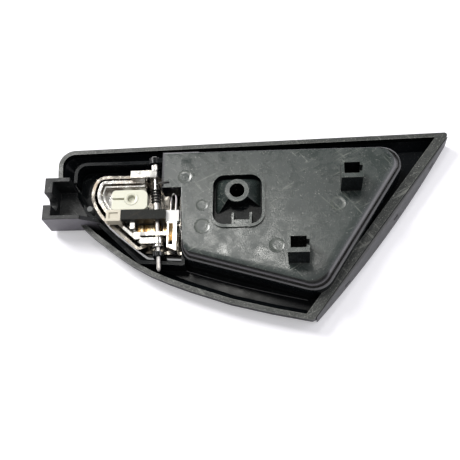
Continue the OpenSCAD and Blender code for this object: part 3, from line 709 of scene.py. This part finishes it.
def smooth_path(points, steps=6):
    """A Catmull-Rom curve through points, so that a few given points give a smooth bend."""
    path = []
    for i in range(len(points) - 1):
        p0, p1, p2 = points[max(i - 1, 0)], points[i], points[i + 1]
        p3 = points[min(i + 2, len(points) - 1)]
        for k in range(steps):
            t = k / steps
            path.append(0.5 * ((2 * p1) + (p2 - p0) * t + (2 * p0 - 5 * p1 + 4 * p2 - p3) * t * t
                               + (3 * p1 - p0 - 3 * p2 + p3) * t ** 3))
    return path + [points[-1]]


print("helpers: turned, swept, prism")

# %% [markdown]
# ## The cross pin
# The lever swings on a steel pin. It has a domed head, a knurled length below it and a chamfered tail. It lies
# along the hinge's own axis, which isn't quite square to the handle, so it is turned in a frame built from
# that axis.

# %% Pin
PIN_RADIUS = 1.3
PIN_TOP, PIN_END = 26.1, -41.2
AXIS = Vector(frame["joints"][0]["axis"]).normalized()
SIDE = AXIS.cross(Vector((0, 0, 1)))
pin_frame = Matrix.Translation(HINGE) @ Matrix((SIDE, Vector((0, 0, -1)), AXIS)).transposed().to_4x4()


def on_pin(side, up, along):
    """A point in metres from millimetres beside, above and along the pin."""
    return HINGE + (SIDE * side + Vector((0, 0, 1)) * up + AXIS * along) * MM


shaft = [(0, PIN_END), (0.7, PIN_END), (PIN_RADIUS - 0.1, PIN_END + 1.0), (PIN_RADIUS, PIN_END + 1.4),
         (PIN_RADIUS, PIN_TOP)]
pin = turned("cross_pin", shaft, pin_frame, zinc, "escutcheon", steps=32)
head = [(0, 25.7), (2.0, 25.7), (2.1, 25.8), (2.1, 26.3), (1.8, 26.7), (1.1, 26.88), (0, 26.9)]
pin_head = turned("pin_head", head, pin_frame, zinc, "escutcheon", steps=32)
grip = [(1.2, 18.3), (1.66, 18.6), (1.66, 21.8), (1.2, 22.1)]
knurl = turned("pin_knurl", grip, pin_frame, zinc, "escutcheon", steps=96, ridges=12, ridge=0.17)
for piece in (pin, pin_head, knurl):
    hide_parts("hinge_pin")
print("pin is", PIN_TOP - PIN_END, "mm long")

# %% [markdown]
# ## The return spring
# A torsion spring of black wire is wound round the pin. One leg hooks over the housing and the other pushes the
# lever's arm, so the coil twists as the lever turns. It is swept along a helix.

# %% Spring
WIRE, COIL, TURNS, PITCH, COIL_FOOT = 0.45, 2.45, 5, 1.72, -1.6
COIL_STEPS = 28
coil_top = COIL_FOOT + TURNS * PITCH
ledge_rise = 8.35                        # from the pin's axis up to the leg that lies on the ledge
legs_in = smooth_path([on_pin(COIL, 1.2, -9.5), on_pin(COIL, 0.6, -5), on_pin(COIL, 0.1, -2.6)])
turns = []
for k in range(1, COIL_STEPS * TURNS):
    turn = 2 * math.pi * k / COIL_STEPS
    turns.append(on_pin(COIL * math.cos(turn), COIL * math.sin(turn), COIL_FOOT + PITCH * k / COIL_STEPS))
legs_out = smooth_path([on_pin(COIL + 0.1, 0.6, coil_top), on_pin(COIL + 0.4, ledge_rise - 1.2, coil_top),
                        on_pin(COIL + 1.3, ledge_rise, coil_top), on_pin(8.8, ledge_rise, coil_top)])
coil = swept("coil_spring", legs_in + turns + legs_out, WIRE, spring_steel, None, sides=10)
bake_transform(coil)
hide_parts("return_spring")
print("spring:", TURNS, "turns,", len(coil.data.vertices), "points")

# %% [markdown]
# ## Marks that moulding leaves
# A moulded part is pushed out of its mould by round pins, and each leaves a shallow ring on the back. They are
# turned discs with a rim about a tenth of a millimetre high, sunk into the surface.

# %% Ejector marks
BACK = 24.0
MARKS = [(-29.4, 10.6, 4.0), (-19.1, -18.8, 4.4), (21.1, -30.5, 4.2), (54.0, -7.4, 4.3), (-19.4, -6.6, 3.4)]
for number, (x, y, radius) in enumerate(MARKS):
    ring = [(0, -0.05), (radius, -0.05), (radius, 0.02), (radius - 0.12, 0.12), (radius - 0.26, 0.1),
            (radius - 0.4, 0.02), (radius * 0.5, 0.04), (0, 0.03)]
    turned(f"ejector_mark_{number + 1}", ring, stand_at(x, y, BACK), bowl_sheen_plastic, "escutcheon",
           steps=56)
print("ejector marks:", len(MARKS))

# %% Step line: a fine bead where two halves of the mould met, in the channel below the bowl
SEAM = [at(-41, -33.6, 3.1), at(-20, -40.6, 3.1), at(0, -46.4, 3.1), at(20, -51.4, 3.1), at(37, -55.2, 3.1)]
swept("mould_seam", smooth_path(SEAM), 0.24, trim_plastic, "escutcheon", sides=8)
print("seam is", round((SEAM[-1] - SEAM[0]).length / MM), "mm long")

# %% [markdown]
# ## The cable holder's boss
# The nylon holder has a raised round boss where the cable's end drops in, and a small spur at its corner. They
# are separate shapes here, sunk a little into the holder so that no gap shows.

# %% Boss and spur
HOLDER_TOP = 21.0
HOLE_AT = (-59.4, -0.4)
boss_ring = [(2.22, -0.6), (4.0, -0.6), (4.0, 0.05), (3.75, 0.28), (3.2, 0.3), (2.7, 0.12), (2.3, 0.05),
             (2.22, -0.1)]


def hollow(name, profile, place, finish, body, steps=48):
    """A turned ring, open in the middle: the profile is closed on itself."""
    points, faces = [], []
    for radius, height in profile:
        for k in range(steps):
            turn = 2 * math.pi * k / steps
            point = Vector((radius * math.cos(turn) * MM, radius * math.sin(turn) * MM, height * MM))
            points.append(place @ point)
    rings = len(profile)
    for ring in range(rings):
        for k in range(steps):
            a, b = ring * steps + k, ring * steps + (k + 1) % steps
            c, d = (ring + 1) % rings * steps + (k + 1) % steps, (ring + 1) % rings * steps + k
            faces.append((a, b, c, d))
    return mesh_piece(name, points, faces, finish, body)


hollow("holder_boss", boss_ring, stand_at(*HOLE_AT, HOLDER_TOP), milky, "lever")
spur = [at(-51.6, -4.0, 19.6), at(-50.3, -4.6, 19.6), at(-49.3, -5.0, 19.5)]
swept("holder_spur", smooth_path(spur), 0.5, milky, "lever", sides=10)
print("boss stands", HOLDER_TOP + 0.3, "mm above the front")

# %% [markdown]
# ## Warm panels
# The floors inside the lever look amber, in streaks from tan to cream. Why they do can't be told, so the colour
# is simply painted on as a warm reflection: a streaked metal goes on the floors, and on two low plates that
# stand on the larger one.

# %% Amber painted reflection
amber, tree, out = new_material("amber_painted_reflection")
shader = put(tree, "ShaderNodeBsdfPrincipled", Metallic=1.0)
where = put(tree, "ShaderNodeTexCoord")
lay = put(tree, "ShaderNodeMapping", vector_type="TEXTURE")
lay.inputs["Scale"].default_value = (1.0, 6.0, 1.0)
streaks = put(tree, "ShaderNodeTexNoise", Scale=420.0, Detail=2.0)
tones = put(tree, "ShaderNodeValToRGB")
tones.color_ramp.elements[0].position = 0.36
tones.color_ramp.elements[0].color = (0.16, 0.085, 0.03, 1)
tones.color_ramp.elements[1].position = 0.66
tones.color_ramp.elements[1].color = (0.95, 0.86, 0.66, 1)
middle = tones.color_ramp.elements.new(0.5)
middle.color = (0.62, 0.38, 0.14, 1)
marks = group_node(tree, scuffs, Scale=500.0, Amount=0.6)
level = put(tree, "ShaderNodeMapRange", To_Min=0.22, To_Max=0.45)
join(tree, (where, "Object", lay, "Vector"), (lay, 0, streaks, "Vector"), (streaks, 0, tones, 0),
     (tones, 0, shader, "Base Color"), (marks, "Mask", level, "Value"), (level, 0, shader, "Roughness"),
     (shader, 0, out, 0))


def refinish(piece, finish, low, high):
    """Gives the up-facing faces whose centres lie in a box, in millimetres, another finish."""
    a, b = at(*low), at(*high)
    piece.data.materials.append(finish)
    count = 0
    for face in piece.data.polygons:
        inside = all(a[i] <= face.center[i] <= b[i] for i in range(3))
        if inside and face.normal.z > 0.5:
            face.material_index = len(piece.data.materials) - 1
            count += 1
    return count


PLATES = [                               # name, x from, x to, height of the top, in mm
    ("reflection_panel", -56.6, -43.6, 12.2),
    ("reflection_panel_small", -42.6, -38.2, 11.4),
]
PLATE_FOOT = 9.4                         # just below the floor that the plates stand on
PLATE_Y = (-18.9, -13.0)
# the plates only carry the painted warm reflection
for name, x0, x1, top in PLATES:
    panel = [(x0, PLATE_Y[0]), (x0, PLATE_Y[1]), (x1, PLATE_Y[1]), (x1, PLATE_Y[0])]
    prism(name, panel, PLATE_FOOT, top, amber, "lever")
print("amber faces:", refinish(made["lever_core"], amber, (-57.5, -19.6, 9), (-38, -12, 10.2)),
      refinish(made["lever_frame"], amber, (-39, -28, 9.8), (-33.5, -13, 12)))
